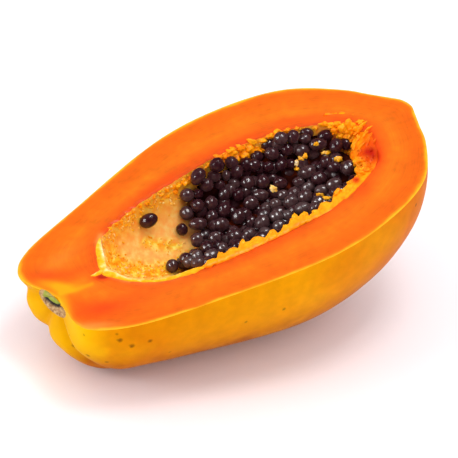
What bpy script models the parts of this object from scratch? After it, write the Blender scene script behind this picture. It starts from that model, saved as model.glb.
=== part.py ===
# Half a papaya, cut along its stem and lying on its back, with the seeds still heaped in its hollow.
# It is modelled in the fruit's own frame first: +X from the stem to the blossom tip, +Y to the far
# side, and the cut face at z = 0. Then the half is turned into the attitude in which it rests.
import math
import random

import bmesh
import bpy
import numpy as np
from mathutils import Matrix, Vector

# Driving dimensions, in metres and degrees
FRUIT_LENGTH = 0.175  # from the bottom of the stem dimple to the blossom tip
PITCH = 11.5  # the blossom end rides high
ROLL = 3.7  # and so does the near side
BELLY_FLAT = 0.0010  # what the resting spot takes off the belly
CAVITY_DEPTH = 0.95  # depth of the hollow as a share of its half width
GAP = 0.0005  # between the seeds and the flesh

# Half widths of the cut face along the fruit, as shares of the fruit's length
OUTLINE = (
    (0.000, 0.000),
    (-0.022, 0.100),
    (-0.008, 0.143),
    (0.033, 0.177),
    (0.100, 0.206),
    (0.220, 0.240),
    (0.430, 0.295),
    (0.565, 0.312),
    (0.694, 0.300),
    (0.800, 0.269),
    (0.870, 0.223),
    (0.935, 0.145),
    (0.965, 0.090),
    (0.990, 0.045),
    (1.003, 0.020),
    (1.006, 0.000),
)
# How far the fruit's middle strays to the far side
MIDDLE = (
    (0.00, 0.000),
    (0.15, -0.005),
    (0.35, 0.000),
    (0.70, 0.010),
    (1.01, 0.020),
)
HOLLOW = (
    (0.125, 0.000),
    (0.146, 0.050),
    (0.200, 0.110),
    (0.310, 0.145),
    (0.450, 0.162),
    (0.580, 0.168),
    (0.700, 0.148),
    (0.790, 0.110),
    (0.840, 0.062),
    (0.868, 0.000),
)

# Depth of the half as a share of its half width
DEPTH = (
    (-0.03, 0.93),
    (0.04, 1.11),
    (0.15, 1.05),
    (0.45, 1.03),
    (0.75, 1.02),
    (0.90, 0.93),
    (1.01, 0.84),
)

# Grooves run into the stem dimple at these turns from the far rim, and fade out along the fruit
GROOVES = (17, 65, 118)
GROOVE_WIDTH = 11
GROOVE_DEPTH = 0.075  # as a share of the half width
GROOVE_BACK = 0.014  # how far it draws the shoulder back, as a share of the length
GROOVE_FADE = 0.09

# How finely the flesh is laid out
STATIONS = 42
SKIN_RINGS = 10
FACE_RINGS = 2
WALL_RINGS = 8

# Crags of pulp along the hollow's rim, and the corky stub left in the stem dimple
CRAG = 0.0009
STUB_PLACE = (0.004, 0.000, -0.012)
STUB_SIZE = (0.0050, 0.0042, 0.0050)

# Seeds: the heap starts at these shares of the length, from the far rim round under to the near rim
HEAP_TURNS = (0, 15, 60, 78, 180)
HEAP_STARTS = (0.49, 0.44, 0.41, 0.32, 0.40)
HEAP_END = 0.822
HEAP_RIM_TURN = 7
SEED_RADIUS = 0.0028
SEED_STRETCH = 1.18
SEED_SPACING = 0.0059
SEED_INSET = 0.0041  # a seed's middle from the wall, near the rim
SEED_PILE = 0.0045  # and this much more at the bottom
CORE_SINK = 0.0004
CORE_TURNS = 14
CORE_STATIONS = 13
SEED_SIDES = 5
SEED_RINGS = 4
SETTLING_STEPS = 40
LONE_SEED = (0.321, 14)  # its share of the length, and its turn from the far rim
RANDOM_SEED = 11


def clear_scene():
    for old in list(bpy.data.objects):
        bpy.data.objects.remove(old)


def material(name, colour, roughness):
    made = bpy.data.materials.new(name)
    made.use_nodes = True
    shader = made.node_tree.nodes["Principled BSDF"]
    shader.inputs["Base Color"].default_value = (*colour, 1)
    shader.inputs["Roughness"].default_value = roughness
    return made


def smooth_curve(knots, count):
    """Evenly spaced points along a Catmull-Rom curve through the knots."""
    knots = np.array(knots, float)
    padded = np.vstack((2 * knots[0] - knots[1], knots, 2 * knots[-1] - knots[-2]))
    t = np.linspace(0, 1, 24, endpoint=False)[:, None]
    pieces = []
    for a, b, c, d in zip(padded[:-3], padded[1:-2], padded[2:-1], padded[3:]):
        bend = 2 * a - 5 * b + 4 * c - d
        twist = 3 * b - a - 3 * c + d
        pieces.append(b + ((c - a) * t + bend * t**2 + twist * t**3) / 2)
    fine = np.vstack((*pieces, knots[-1:]))
    run = np.append(0, np.cumsum(np.linalg.norm(np.diff(fine, axis=0), axis=1)))
    even = np.linspace(0, run[-1], count)
    return np.column_stack([np.interp(even, run, fine[:, axis]) for axis in (0, 1)])


def profile(knots, count):
    """A smooth curve whose half widths never fall below zero."""
    curve = smooth_curve(knots, count)
    curve[:, 1] = np.maximum(curve[:, 1], 0)
    return curve


def inset_curve(curve, inset):
    """The curve moved inwards by a distance along its normals, both in metres."""
    slope = np.gradient(curve, axis=0)
    slope /= np.linalg.norm(slope, axis=1)[:, None]
    moved = curve + inset * np.column_stack((slope[:, 1], -slope[:, 0]))
    kept = moved[moved[:, 1] > 0]
    return kept[np.argsort(kept[:, 0])]


def read_off(knots, share):
    curve = smooth_curve(knots, 60)
    return float(np.interp(share, curve[:, 0], curve[:, 1]))


def skin_point(station, turn):
    """A point of the skin. The turn is 0 at the far rim, 90 at the belly and 180 at the near rim."""
    x, half = station
    share = min(max(x, 0), 1)
    groove = sum(math.exp(-(((turn - at) / GROOVE_WIDTH) ** 2)) for at in GROOVES)
    groove *= math.exp(-share / GROOVE_FADE) * min(half / 0.1, 1)
    radius = half * FRUIT_LENGTH * (1 - GROOVE_DEPTH * groove)
    along = (x + GROOVE_BACK * groove) * FRUIT_LENGTH
    angle = math.radians(turn)
    across = read_off(MIDDLE, share) * FRUIT_LENGTH + radius * math.cos(angle)
    return Vector((along, across, -read_off(DEPTH, x) * radius * math.sin(angle)))


def hollow_point(x, radius, turn):
    """A point at a radius round the hollow's middle line, all in metres."""
    angle = math.radians(turn)
    return Vector((x, radius * math.cos(angle), -CAVITY_DEPTH * radius * math.sin(angle)))


def wall_point(station, turn):
    x, half = station
    return hollow_point(x * FRUIT_LENGTH, half * FRUIT_LENGTH, turn)


def ring_of(stations, point_at, turn):
    """A ring at one turn: along the far side from stem to tip, and back along the near side."""
    far = [point_at(station, turn) for station in stations]
    near = [point_at(station, 180 - turn) for station in stations[::-1]]
    return far + near


def craggy(ring, draw, depth):
    """The ring with its points drawn in towards the hollow's middle by uneven amounts."""
    rough = []
    for point in ring:
        inwards = Vector((0.5 * FRUIT_LENGTH, 0, 0)) - point
        on_middle_line = abs(point.y) < 1e-6
        drawn_in = 0 if on_middle_line else depth * draw.random() ** 2
        rough.append(point + inwards.normalized() * drawn_in)
    return rough


def solid_through(rings, capped):
    """A closed solid through a row of rings; uncapped ends fold flat and are welded."""
    bm = bmesh.new()
    rows = [[bm.verts.new(point) for point in ring] for ring in rings]
    for first, second in zip(rows, rows[1:]):
        edges = []
        for row in (first, second):
            for a, b in zip(row, row[1:] + row[:1]):
                edges.append(bm.edges.get((a, b)) or bm.edges.new((a, b)))
        bmesh.ops.bridge_loops(bm, edges=edges)
    if capped:
        for row in (rows[0], rows[-1]):
            bm.faces.new(row)
    bmesh.ops.remove_doubles(bm, verts=bm.verts, dist=1e-6)
    bmesh.ops.dissolve_degenerate(bm, edges=bm.edges, dist=1e-6)
    bmesh.ops.recalc_face_normals(bm, faces=bm.faces)
    return bm


def object_from(bm, name, skin):
    mesh = bpy.data.meshes.new(name)
    bm.to_mesh(mesh)
    bm.free()
    mesh.materials.append(skin)
    made = bpy.data.objects.new(name, mesh)
    bpy.context.scene.collection.objects.link(made)
    return made


def rounded_lump(place, size, draw=None):
    """A small ball of few sides, stretched to its size and turned by a random draw."""
    bm = bmesh.new()
    bmesh.ops.create_uvsphere(bm, u_segments=SEED_SIDES, v_segments=SEED_RINGS, radius=1)
    bmesh.ops.scale(bm, verts=bm.verts, vec=size)
    if draw:
        for axis in "XYZ":
            turned = Matrix.Rotation(draw.uniform(0, math.tau), 3, axis)
            bmesh.ops.rotate(bm, verts=bm.verts, matrix=turned)
    bmesh.ops.translate(bm, verts=bm.verts, vec=place)
    return bm


def seed_at(place, draw):
    radius = SEED_RADIUS * draw.uniform(0.93, 1.05)
    return rounded_lump(place, (radius * SEED_STRETCH, radius, radius), draw)


def fuse(base, lumps, skin):
    """One Boolean union of the base with every lump; what it seals or cuts loose is dropped."""
    parts = bpy.data.collections.new("lumps")
    for bm in lumps:
        lump = object_from(bm, "lump", skin)
        bpy.context.scene.collection.objects.unlink(lump)
        parts.objects.link(lump)
    union = base.modifiers.new("union", "BOOLEAN")
    union.operation = "UNION"
    union.operand_type = "COLLECTION"
    union.collection = parts
    union.solver = "EXACT"
    fused = bpy.data.meshes.new_from_object(base.evaluated_get(bpy.context.evaluated_depsgraph_get()))
    base.modifiers.clear()
    for lump in list(parts.objects):
        bpy.data.objects.remove(lump)
    bpy.data.collections.remove(parts)
    bm = bmesh.new()
    bm.from_mesh(fused)
    keep_main_shell(bm)
    bm.to_mesh(base.data)
    bm.free()
    bpy.data.meshes.remove(fused)


def keep_main_shell(bm):
    """Leaves only the shell with the most faces."""
    bmesh.ops.remove_doubles(bm, verts=bm.verts, dist=2e-6)
    bmesh.ops.dissolve_degenerate(bm, edges=bm.edges, dist=2e-6)
    waiting = set(bm.verts)
    shells = []
    while waiting:
        shell = {waiting.pop()}
        front = list(shell)
        while front:
            here = front.pop()
            for edge in here.link_edges:
                there = edge.other_vert(here)
                if there in waiting:
                    waiting.remove(there)
                    shell.add(there)
                    front.append(there)
        shells.append(shell)
    shells.sort(key=len)
    for shell in shells[:-1]:
        bmesh.ops.delete(bm, geom=list(shell), context="VERTS")


def make_flesh(skin):
    draw = random.Random(RANDOM_SEED)
    outline = profile(OUTLINE, STATIONS)
    hollow = profile(HOLLOW, STATIONS)
    rings = [ring_of(outline, skin_point, 90 * (1 - i / SKIN_RINGS)) for i in range(SKIN_RINGS + 1)]
    skin_edge = rings[-1]
    mouth = craggy(ring_of(hollow, wall_point, 0), draw, CRAG)
    for i in range(1, FACE_RINGS):
        rings.append([a.lerp(b, i / FACE_RINGS) for a, b in zip(skin_edge, mouth)])
    rings.append(mouth)
    for i in range(1, WALL_RINGS + 1):
        ring = ring_of(hollow, wall_point, 90 * i / WALL_RINGS)
        if i == 1:
            ring = craggy(ring, draw, CRAG)
        rings.append(ring)
    flesh = object_from(solid_through(rings, capped=False), "flesh", skin)
    x, turn = LONE_SEED
    half = np.interp(x, hollow[:, 0], hollow[:, 1]) * FRUIT_LENGTH
    lone = hollow_point(x * FRUIT_LENGTH, half - 0.7 * SEED_RADIUS, turn)
    stub = Vector(STUB_PLACE)
    fuse(flesh, [seed_at(lone, draw), rounded_lump(stub, STUB_SIZE)], skin)
    return flesh


def rim_room(turn):
    """The room that the seeds leave for the crags, which end a little way below the rim."""
    below_rim = min(turn, 180 - turn)
    return 1.2 * CRAG * min(max((26 - below_rim) / 12, 0), 1)


def heap_inset(turn):
    """How far the middles of the top seeds lie from the wall."""
    return SEED_INSET + rim_room(turn) + SEED_PILE * math.sin(math.radians(turn)) ** 2


def heap_radius(x, turn, hollow):
    inner = inset_curve(hollow, heap_inset(turn))
    return float(np.interp(x, inner[:, 0], inner[:, 1]))


def heap_core(hollow):
    """The body of the heap: between a surface close to the wall and one through the top seeds."""
    rings = []
    for turn in np.linspace(HEAP_RIM_TURN, 180 - HEAP_RIM_TURN, CORE_TURNS):
        start = np.interp(turn, HEAP_TURNS, HEAP_STARTS) * FRUIT_LENGTH
        outer = inset_curve(hollow, GAP + rim_room(turn))
        inner = inset_curve(hollow, heap_inset(turn) + CORE_SINK)
        xs = np.linspace(start, HEAP_END * FRUIT_LENGTH, CORE_STATIONS)
        below = [hollow_point(x, np.interp(x, outer[:, 0], outer[:, 1]), turn) for x in xs]
        above = [hollow_point(x, np.interp(x, inner[:, 0], inner[:, 1]), turn) for x in xs]
        above[0] = below[0].lerp(above[0], 0.3)
        rings.append(below + above[::-1])
    return solid_through(rings, capped=True)


def seed_places(hollow, draw):
    """A staggered lattice of seeds over the heap, shaken and then settled until they barely touch."""
    turns_across = []
    step = SEED_SPACING * 0.87
    count = int(0.55 * FRUIT_LENGTH / step)
    for row in range(count):
        x = HEAP_END * FRUIT_LENGTH - row * step
        radius = heap_radius(x, 90, hollow)
        across = max(int(math.pi * radius / SEED_SPACING), 1)
        for i in range(across):
            turn = HEAP_RIM_TURN + (180 - 2 * HEAP_RIM_TURN) * (i + 0.25 + 0.5 * (row % 2)) / across
            start = np.interp(turn, HEAP_TURNS, HEAP_STARTS) * FRUIT_LENGTH
            if x > start + 0.001 and turn < 180 - HEAP_RIM_TURN:
                turns_across.append((x, turn))
    shaken = [(x + draw.uniform(-1, 1) * 0.0008, turn + draw.uniform(-2, 2)) for x, turn in turns_across]
    places = np.array([hollow_point(x, heap_radius(x, turn, hollow), turn) for x, turn in shaken])
    for _ in range(SETTLING_STEPS):
        apart = places[:, None] - places[None, :]
        distance = np.linalg.norm(apart, axis=2) + np.eye(len(places))
        push = np.clip(SEED_SPACING - distance, 0, None) / distance
        places = places + 0.25 * (apart * push[:, :, None]).sum(axis=1)
        places = np.array([back_on_heap(place, hollow) for place in places])
    return [Vector(place) for place in places]


def back_on_heap(place, hollow):
    x = min(place[0], HEAP_END * FRUIT_LENGTH)
    turn = math.degrees(math.atan2(-place[2] / CAVITY_DEPTH, place[1]))
    turn = min(max(turn, HEAP_RIM_TURN), 180 - HEAP_RIM_TURN)
    return hollow_point(x, heap_radius(x, turn, hollow), turn)


def make_seeds(skin):
    draw = random.Random(RANDOM_SEED)
    hollow = profile(HOLLOW, 200) * FRUIT_LENGTH
    heap = object_from(heap_core(hollow), "seeds", skin)
    fuse(heap, [seed_at(place, draw) for place in seed_places(hollow, draw)], skin)
    return heap


def lie_down(objects):
    """Turns the half into its resting attitude, flattens the spot it lies on and sets the origin."""
    attitude = Matrix.Rotation(math.radians(-PITCH), 4, "Y") @ Matrix.Rotation(math.radians(-ROLL), 4, "X")
    for thing in objects:
        thing.data.transform(attitude)
    flesh = objects[0]
    bottom = min(vertex.co.z for vertex in flesh.data.vertices) + BELLY_FLAT
    bm = bmesh.new()
    bm.from_mesh(flesh.data)
    geometry = bm.verts[:] + bm.edges[:] + bm.faces[:]
    cut = bmesh.ops.bisect_plane(
        bm, geom=geometry, dist=1e-7, plane_co=(0, 0, bottom), plane_no=(0, 0, -1), clear_outer=True
    )
    rim = [piece for piece in cut["geom_cut"] if isinstance(piece, bmesh.types.BMEdge)]
    bmesh.ops.contextual_create(bm, geom=rim)
    bmesh.ops.recalc_face_normals(bm, faces=bm.faces)
    bm.to_mesh(flesh.data)
    bm.free()
    corners = np.array([vertex.co for thing in objects for vertex in thing.data.vertices])
    low = corners.min(axis=0)
    high = corners.max(axis=0)
    shift = Vector((-(low[0] + high[0]) / 2, -(low[1] + high[1]) / 2, -low[2]))
    for thing in objects:
        thing.data.transform(Matrix.Translation(shift))
        thing.data.shade_smooth()
        thing.data.set_sharp_from_angle(angle=math.radians(35))
    return shift


def main():
    clear_scene()
    flesh = make_flesh(material("papaya_flesh", (0.95, 0.20, 0.02), 0.4))
    seeds = make_seeds(material("papaya_seeds", (0.03, 0.02, 0.025), 0.3))
    return lie_down([flesh, seeds])


main()
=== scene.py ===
# %% [markdown]
# # Half a papaya, made the way it grew and was cut
# A ripe papaya was cut along its stem and laid on its back. What the eye sees is one thick shell of
# orange flesh with a waxy yellow skin, a hollow lined with soft pulp, and a heap of dark seeds in
# their wet skins. Each of those is made here as real geometry, and finished with its own material.
#
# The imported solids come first. They say where everything is, so every new piece is built in the
# same place and stands for the plain solid there.

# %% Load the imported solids
import math
import random

import bmesh
import bpy
import numpy as np
from mathutils import Matrix, Vector, noise
from mathutils.bvhtree import BVHTree


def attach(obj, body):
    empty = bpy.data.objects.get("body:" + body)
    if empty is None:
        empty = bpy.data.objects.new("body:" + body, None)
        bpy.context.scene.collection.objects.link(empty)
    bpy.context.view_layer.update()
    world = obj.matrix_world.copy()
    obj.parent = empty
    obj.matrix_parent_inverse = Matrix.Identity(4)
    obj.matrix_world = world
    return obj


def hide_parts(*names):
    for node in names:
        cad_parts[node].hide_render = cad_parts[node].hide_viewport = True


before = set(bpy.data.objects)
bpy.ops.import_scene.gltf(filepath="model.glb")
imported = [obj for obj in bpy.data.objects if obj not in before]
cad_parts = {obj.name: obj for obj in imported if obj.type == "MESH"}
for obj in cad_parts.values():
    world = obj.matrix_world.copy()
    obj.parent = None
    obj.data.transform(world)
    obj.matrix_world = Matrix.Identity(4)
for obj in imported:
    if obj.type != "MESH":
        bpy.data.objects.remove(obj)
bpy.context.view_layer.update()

# %% [markdown]
# ## The fruit's own frame
# A papaya is easiest to think of along its own axis: x runs from the stem to the blossom tip, y to
# the far side, and the cut face is z = 0. One matrix then lays the finished half down the way it
# rests: the blossom end a little high, rolled slightly, and its belly on the table.

# %% The resting attitude
FRUIT_LENGTH = 0.175
PITCH = 11.5
ROLL = 3.7
REST_SHIFT = (-0.084316, -0.001092, 0.036065)

lie_down = (
    Matrix.Translation(REST_SHIFT)
    @ Matrix.Rotation(math.radians(-PITCH), 4, "Y")
    @ Matrix.Rotation(math.radians(-ROLL), 4, "X")
)
stand_up = lie_down.inverted()
print("cut face leans", round(math.degrees(lie_down.to_3x3().col[2].angle(Vector((0, 0, 1)))), 1), "degrees")

# %% [markdown]
# ## Camera
# The camera comes early, because seeds and torn pulp are placed where the picture shows them. It
# looks down from the near side with a long lens, so the fruit keeps its true proportions. Two small
# functions then go from a pixel to its line of sight, and from a point back to its pixel, both in
# the fruit's own frame.

# %% Camera and lines of sight
PICTURE = 458
AWAY = 6 * FRUIT_LENGTH
view = bpy.data.cameras.new("view")
view.sensor_width = 36
view.lens = 214.6
view.clip_start = 0.01
camera = bpy.data.objects.new("view", view)
bpy.context.scene.collection.objects.link(camera)
AZIMUTH, ELEVATION, TILT = math.radians(-42.14), math.radians(33.20), math.radians(7.42)
LOOK_AT = Vector((-0.01348, -0.01314, 0.05127))
backwards = Vector((
    math.sin(AZIMUTH) * math.cos(ELEVATION), -math.cos(AZIMUTH) * math.cos(ELEVATION), math.sin(ELEVATION)
))
camera.matrix_world = (
    Matrix.Translation(LOOK_AT + AWAY * backwards)
    @ Matrix.Rotation(AZIMUTH, 4, "Z")
    @ Matrix.Rotation(math.pi / 2 - ELEVATION, 4, "X")
    @ Matrix.Rotation(TILT, 4, "Z")
)
bpy.context.scene.camera = camera

to_fruit = stand_up @ camera.matrix_world
from_fruit = to_fruit.inverted()
EYE = to_fruit.translation.copy()
SEEN_RIGHT, SEEN_UP, SEEN_BACK = (to_fruit.to_3x3().col[i].copy() for i in range(3))
FOCUS = view.lens / view.sensor_width * PICTURE
PIXEL = AWAY / FOCUS


def sight(px, py):
    """The direction in which the picture shows this pixel."""
    return (SEEN_RIGHT * (px - PICTURE / 2) - SEEN_UP * (py - PICTURE / 2) - SEEN_BACK * FOCUS).normalized()


def picture(point):
    """The pixel at which the picture shows this point."""
    seen = from_fruit @ point
    return PICTURE / 2 - FOCUS * seen.x / seen.z, PICTURE / 2 + FOCUS * seen.y / seen.z


print("one pixel is", round(1000 * PIXEL, 3), "mm")
print("the stem notch shows at", [round(v) for v in picture(Vector())])

# %% [markdown]
# ## Profiles
# A handful of widths describe the fruit: how far the cut face reaches from its middle line at some
# shares of the length, and the same for the hollow. A Catmull-Rom curve through them gives as many
# points as the mesh needs, evenly spaced, so the mesh can be fine without a long table.

# %% Outline, hollow, middle line and depth
OUTLINE = (
    (0.000, 0.000), (-0.022, 0.100), (-0.008, 0.143), (0.033, 0.177), (0.100, 0.206),
    (0.220, 0.240), (0.430, 0.295), (0.565, 0.312), (0.694, 0.300), (0.800, 0.269),
    (0.870, 0.223), (0.935, 0.145), (0.965, 0.090), (0.990, 0.045), (1.003, 0.020), (1.006, 0.000),
)
HOLLOW = (
    (0.125, 0.000), (0.146, 0.050), (0.200, 0.110), (0.310, 0.145), (0.450, 0.162),
    (0.580, 0.168), (0.700, 0.148), (0.790, 0.110), (0.840, 0.062), (0.868, 0.000),
)
MIDDLE = ((0.00, 0.000), (0.15, -0.005), (0.35, 0.000), (0.70, 0.010), (1.01, 0.020))
DEPTH = (
    (-0.03, 0.93), (0.04, 1.11), (0.15, 1.05), (0.45, 1.03), (0.75, 1.02), (0.90, 0.93), (1.01, 0.84),
)
HOLLOW_DEPTH = 0.95


def smooth_curve(knots, count):
    """Evenly spaced points of a Catmull-Rom curve through the knots."""
    knots = np.array(knots, float)
    padded = np.vstack((2 * knots[0] - knots[1], knots, 2 * knots[-1] - knots[-2]))
    t = np.linspace(0, 1, 24, endpoint=False)[:, None]
    pieces = []
    for a, b, c, d in zip(padded[:-3], padded[1:-2], padded[2:-1], padded[3:]):
        bend = 2 * a - 5 * b + 4 * c - d
        twist = 3 * b - a - 3 * c + d
        pieces.append(b + ((c - a) * t + bend * t**2 + twist * t**3) / 2)
    fine = np.vstack((*pieces, knots[-1:]))
    run = np.append(0, np.cumsum(np.linalg.norm(np.diff(fine, axis=0), axis=1)))
    even = np.linspace(0, run[-1], count)
    return np.column_stack([np.interp(even, run, fine[:, axis]) for axis in (0, 1)])


STATIONS = 240
outline = smooth_curve(OUTLINE, STATIONS + 1)
hollow = smooth_curve(HOLLOW, STATIONS + 1)
outline[:, 1] = np.maximum(outline[:, 1], 0)
hollow[:, 1] = np.maximum(hollow[:, 1], 0)
middle_line = smooth_curve(MIDDLE, 200)
depth_line = smooth_curve(DEPTH, 200)
print("widest", round(2000 * FRUIT_LENGTH * outline[:, 1].max(), 1), "mm")

# %% [markdown]
# ## Where skin and wall lie
# A papaya is close to a turned shape, so a point of the skin needs only its station along the fruit
# and its turn round the axis: 0 at the far rim, 90 on the belly, 180 at the near rim. Three grooves
# run into the stem dimple, as they do on the real fruit, and fade out along it. The rim of the
# hollow was torn rather than cut, so within a few degrees of it the wall wanders by about half a
# millimetre.

# %% Skin and wall as functions of station and turn
GROOVES = (17, 65, 118)
GROOVE_WIDTH = 10
GROOVE_DEPTH = 0.052
GROOVE_BACK = 0.012
GROOVE_FADE = 0.09
RAGGED = 0.0006
RAGGED_TURN = 14


def skin_point(station, turn):
    """A station is how far along the fruit it is, and how wide the fruit is there, both as shares."""
    x, half = station
    share = min(max(x, 0), 1)
    groove = sum(math.exp(-(((turn - at) / GROOVE_WIDTH) ** 2)) for at in GROOVES)
    groove *= math.exp(-share / GROOVE_FADE) * min(half / 0.1, 1)
    radius = half * FRUIT_LENGTH * (1 - GROOVE_DEPTH * groove)
    along = (x + GROOVE_BACK * groove) * FRUIT_LENGTH
    angle = math.radians(turn)
    across = np.interp(share, *middle_line.T) * FRUIT_LENGTH + radius * math.cos(angle)
    return Vector((along, across, -np.interp(x, *depth_line.T) * radius * math.sin(angle)))


def hollow_point(x, radius, turn):
    angle = math.radians(turn)
    return Vector((x, radius * math.cos(angle), -HOLLOW_DEPTH * radius * math.sin(angle)))


def wall_point(station, turn):
    x, half = (value * FRUIT_LENGTH for value in station)
    near_rim = max(1 - min(turn, 180 - turn) / RAGGED_TURN, 0)
    side = 1 if turn < 90 else -1
    torn = noise.noise(Vector((x / 0.004, side * 9, 0)))
    torn += 0.6 * noise.noise(Vector((x / 0.0016, side * 5, 3)))
    return hollow_point(x, max(half + RAGGED * torn * near_rim * min(half / 0.008, 1), 0), turn)


belly = skin_point(outline[STATIONS // 2], 90)
print("halfway along, the belly lies", round(-1000 * belly.z, 1), "mm under the cut")

# %% [markdown]
# ## What the cut shows
# The cut face isn't one colour. A golden wedge leads from the stem, and there are red patches where
# the flesh is ripest; in the small pockets the deepest red is also painted shade. Each is a soft
# spot or a line, given by the pixels where the picture shows it, and every vertex of the face gets a
# weight from it.

# %% Spots and lines on the cut
GOLD_LINE = ((60, 293.5), (68, 292), (77, 289.5), (92, 284))
# centre x and y, half length and half height in pixels, lean in degrees, strength
GOLD_SPOTS = ((56, 286, 17, 4.5, -12, 0.8), (70, 287, 14, 4, 8, 0.5), (63, 306, 6.5, 17, 14, 0.85))
RED_SPOTS = (
    (103, 276.5, 8, 3.2, 8, 1.7), (375, 157, 7, 9, 0, 1.35), (363, 152, 5, 5, 0, 1.2),
    (366, 143, 12, 14, 0, 0.6), (44, 277, 19, 6, 2, 0.7), (76, 272, 20, 6, 12, 0.45),
    (98, 309, 32, 10, 10, 0.75), (140, 298, 30, 8, 14, 0.3), (345, 119, 14, 4, 0, 0.5),
    (362, 190, 12, 8, 40, 0.4), (160, 183, 40, 4, 33, 0.5), (240, 140, 40, 3, 22, 0.35),
    (356, 180, 3.5, 3, 0, 1.6), (255, 253, 60, 4, 24, 0.3), (300, 119, 34, 3, 8, 0.35),
)
PALE_SPOTS = ((92, 326, 22, 3.5, 4, 0.5), (60, 259, 22, 8, 35, 0.15))
PITH_LINE = (
    (101, 236), (98.5, 242), (100, 250), (102, 260), (103, 270), (112, 274), (124, 278.5), (134, 280),
    (147, 281), (160, 280), (176, 276.5), (190, 271.5),
)
POCKETS = ((374, 156, 6, 7, 0, 0.0012), (363, 151, 4, 4, 0, 0.0009), (103, 276.5, 7, 3, 8, 0.0005))


def spot_weight(px, py, spots):
    total = 0.0
    for x, y, length, height, lean, strength in spots:
        c, s = math.cos(math.radians(lean)), math.sin(math.radians(lean))
        along, up = (px - x) * c - (py - y) * s, (px - x) * s + (py - y) * c
        total += strength * math.exp(-((along / length) ** 2) - (up / height) ** 2)
    return total


def line_distance(px, py, line):
    best = 99.0
    for (ax, ay), (bx, by) in zip(line, line[1:]):
        dx, dy = bx - ax, by - ay
        t = min(max(((px - ax) * dx + (py - ay) * dy) / (dx * dx + dy * dy), 0), 1)
        best = min(best, math.hypot(px - ax - t * dx, py - ay - t * dy))
    return best


def line_weight(px, py, line, width):
    """1 on the line, fading away from it over this many pixels."""
    return math.exp(-((line_distance(px, py, line) / width) ** 2))


print("the ripest spot weighs", round(spot_weight(375, 157, RED_SPOTS), 2))

# %% [markdown]
# ## The half itself
# The real half is one closed body, so it is one mesh: a flat grid rolled up like a sheet. Going
# across the grid we walk once round the fruit's section: under the belly on the skin, over the far
# cut face, down one wall of the hollow and up the other, and back over the near cut face. Going
# along it we walk from the stem to the tip. Rolling a grid keeps the faces in tidy rows, and lets
# each vertex remember where it is: how far along, how far across the cut, and at what turn.
#
# First comes how rough the wall of the hollow is. Seeds grew on it in strips, which stay grainy and
# golden, and the wall between them is smooth. The roughness shapes the mesh here, and it colours
# the wall and scatters grains of pulp over it later.

# %% How rough the wall is
# strips where seeds grew: a line in the picture, half its width in pixels, its strength
GOLDEN_STRIPS = (
    (((104, 236), (110, 256), (124, 270), (150, 274), (178, 268), (196, 256)), 9, 1.0),
    (((146, 242), (160, 245), (178, 246)), 6, 0.7), (((112, 232), (124, 222), (140, 208)), 7, 0.6),
)
STRIPS_RIGHT = 210
# a strip under each rim: its turn and half its width in degrees
RIM_STRIPS = ((4, 15), (150, 25))
SMOOTH_WALL = 0.25
ROUGH_END = 0.83


def smooth_step(value):
    value = min(max(value, 0.0), 1.0)
    return value * value * (3 - 2 * value)


def rough_wall(point, share, turn):
    """How grainy the hollow is: strips where seeds grew, smooth between them."""
    strips = max(math.exp(-(((turn - at) / spread) ** 2)) for at, spread in RIM_STRIPS)
    px, py = picture(point)
    if px < STRIPS_RIGHT:
        for line, wide, strength in GOLDEN_STRIPS:
            strips = max(strips, strength * line_weight(px, py, line, wide))
    return min(SMOOTH_WALL + strips, 1) * smooth_step((ROUGH_END - share) / 0.04)


deepest = wall_point((0.5, 0.165), 90)
print("roughness at the bottom of the hollow:", round(rough_wall(deepest, 0.5, 90), 2))

# %% [markdown]
# Now a place in the grid gets its point on the fruit. Slow swells of a fraction of a millimetre keep
# the skin, the cut and the wall from looking machined. The cut drops a little at the hollow's rim
# and has small pockets where the flesh is ripest.

# %% From a place in the grid to a point
SKIN_COLUMNS = 84
FACE_COLUMNS = 40
WALL_COLUMNS = 96
COLUMNS = SKIN_COLUMNS + 2 * FACE_COLUMNS + WALL_COLUMNS
# swells: height and width in metres
SKIN_SWELLS = ((0.00022, 0.016), (0.00005, 0.004))
CUT_SWELLS = ((0.00020, 0.018), (0.00008, 0.0035))
WALL_SWELLS = ((0.0006, 0.012),)
WALL_GRAIN = ((0.00030, 0.0026),)
RIM_DROP = 0.0005
RIM_BAND = 0.08


def swell(point, sizes):
    return sum(height * noise.noise(point / width) for height, width in sizes)


def on_skin(row, column):
    turn = 180 * (1 - column / SKIN_COLUMNS)
    point = skin_point(outline[row], turn)
    held = math.sin(math.radians(turn)) ** 0.5
    outwards = Vector((0, point.y, point.z)).normalized()
    return point + outwards * swell(point, SKIN_SWELLS) * held, 0.0, turn


def on_face(row, column):
    far = column < FACE_COLUMNS
    band = column / FACE_COLUMNS if far else (COLUMNS - SKIN_COLUMNS - column) / FACE_COLUMNS
    turn = 0 if far else 180
    point = skin_point(outline[row], turn).lerp(wall_point(hollow[row], turn), band)
    drop = RIM_DROP * max(band - (1 - RIM_BAND), 0) / RIM_BAND
    point.z += swell(point, CUT_SWELLS) * math.sin(math.pi * band) - drop
    point.z -= spot_weight(*picture(point), POCKETS)
    return point, band, turn


def on_wall(row, column):
    turn = 180 * (column - FACE_COLUMNS) / WALL_COLUMNS
    point = wall_point(hollow[row], turn)
    rough = rough_wall(point, point.x / FRUIT_LENGTH, turn)
    inside = min(math.sin(math.radians(turn)) * 3, 1)
    inwards = (Vector((0.5 * FRUIT_LENGTH, 0, 0)) - point).normalized()
    point += inwards * (swell(point, WALL_GRAIN) * rough * inside + swell(point, WALL_SWELLS) * inside)
    point.z -= RIM_DROP * (1 - min(math.sin(math.radians(turn)) * 4, 1))
    return point, 1.0, turn


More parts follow.
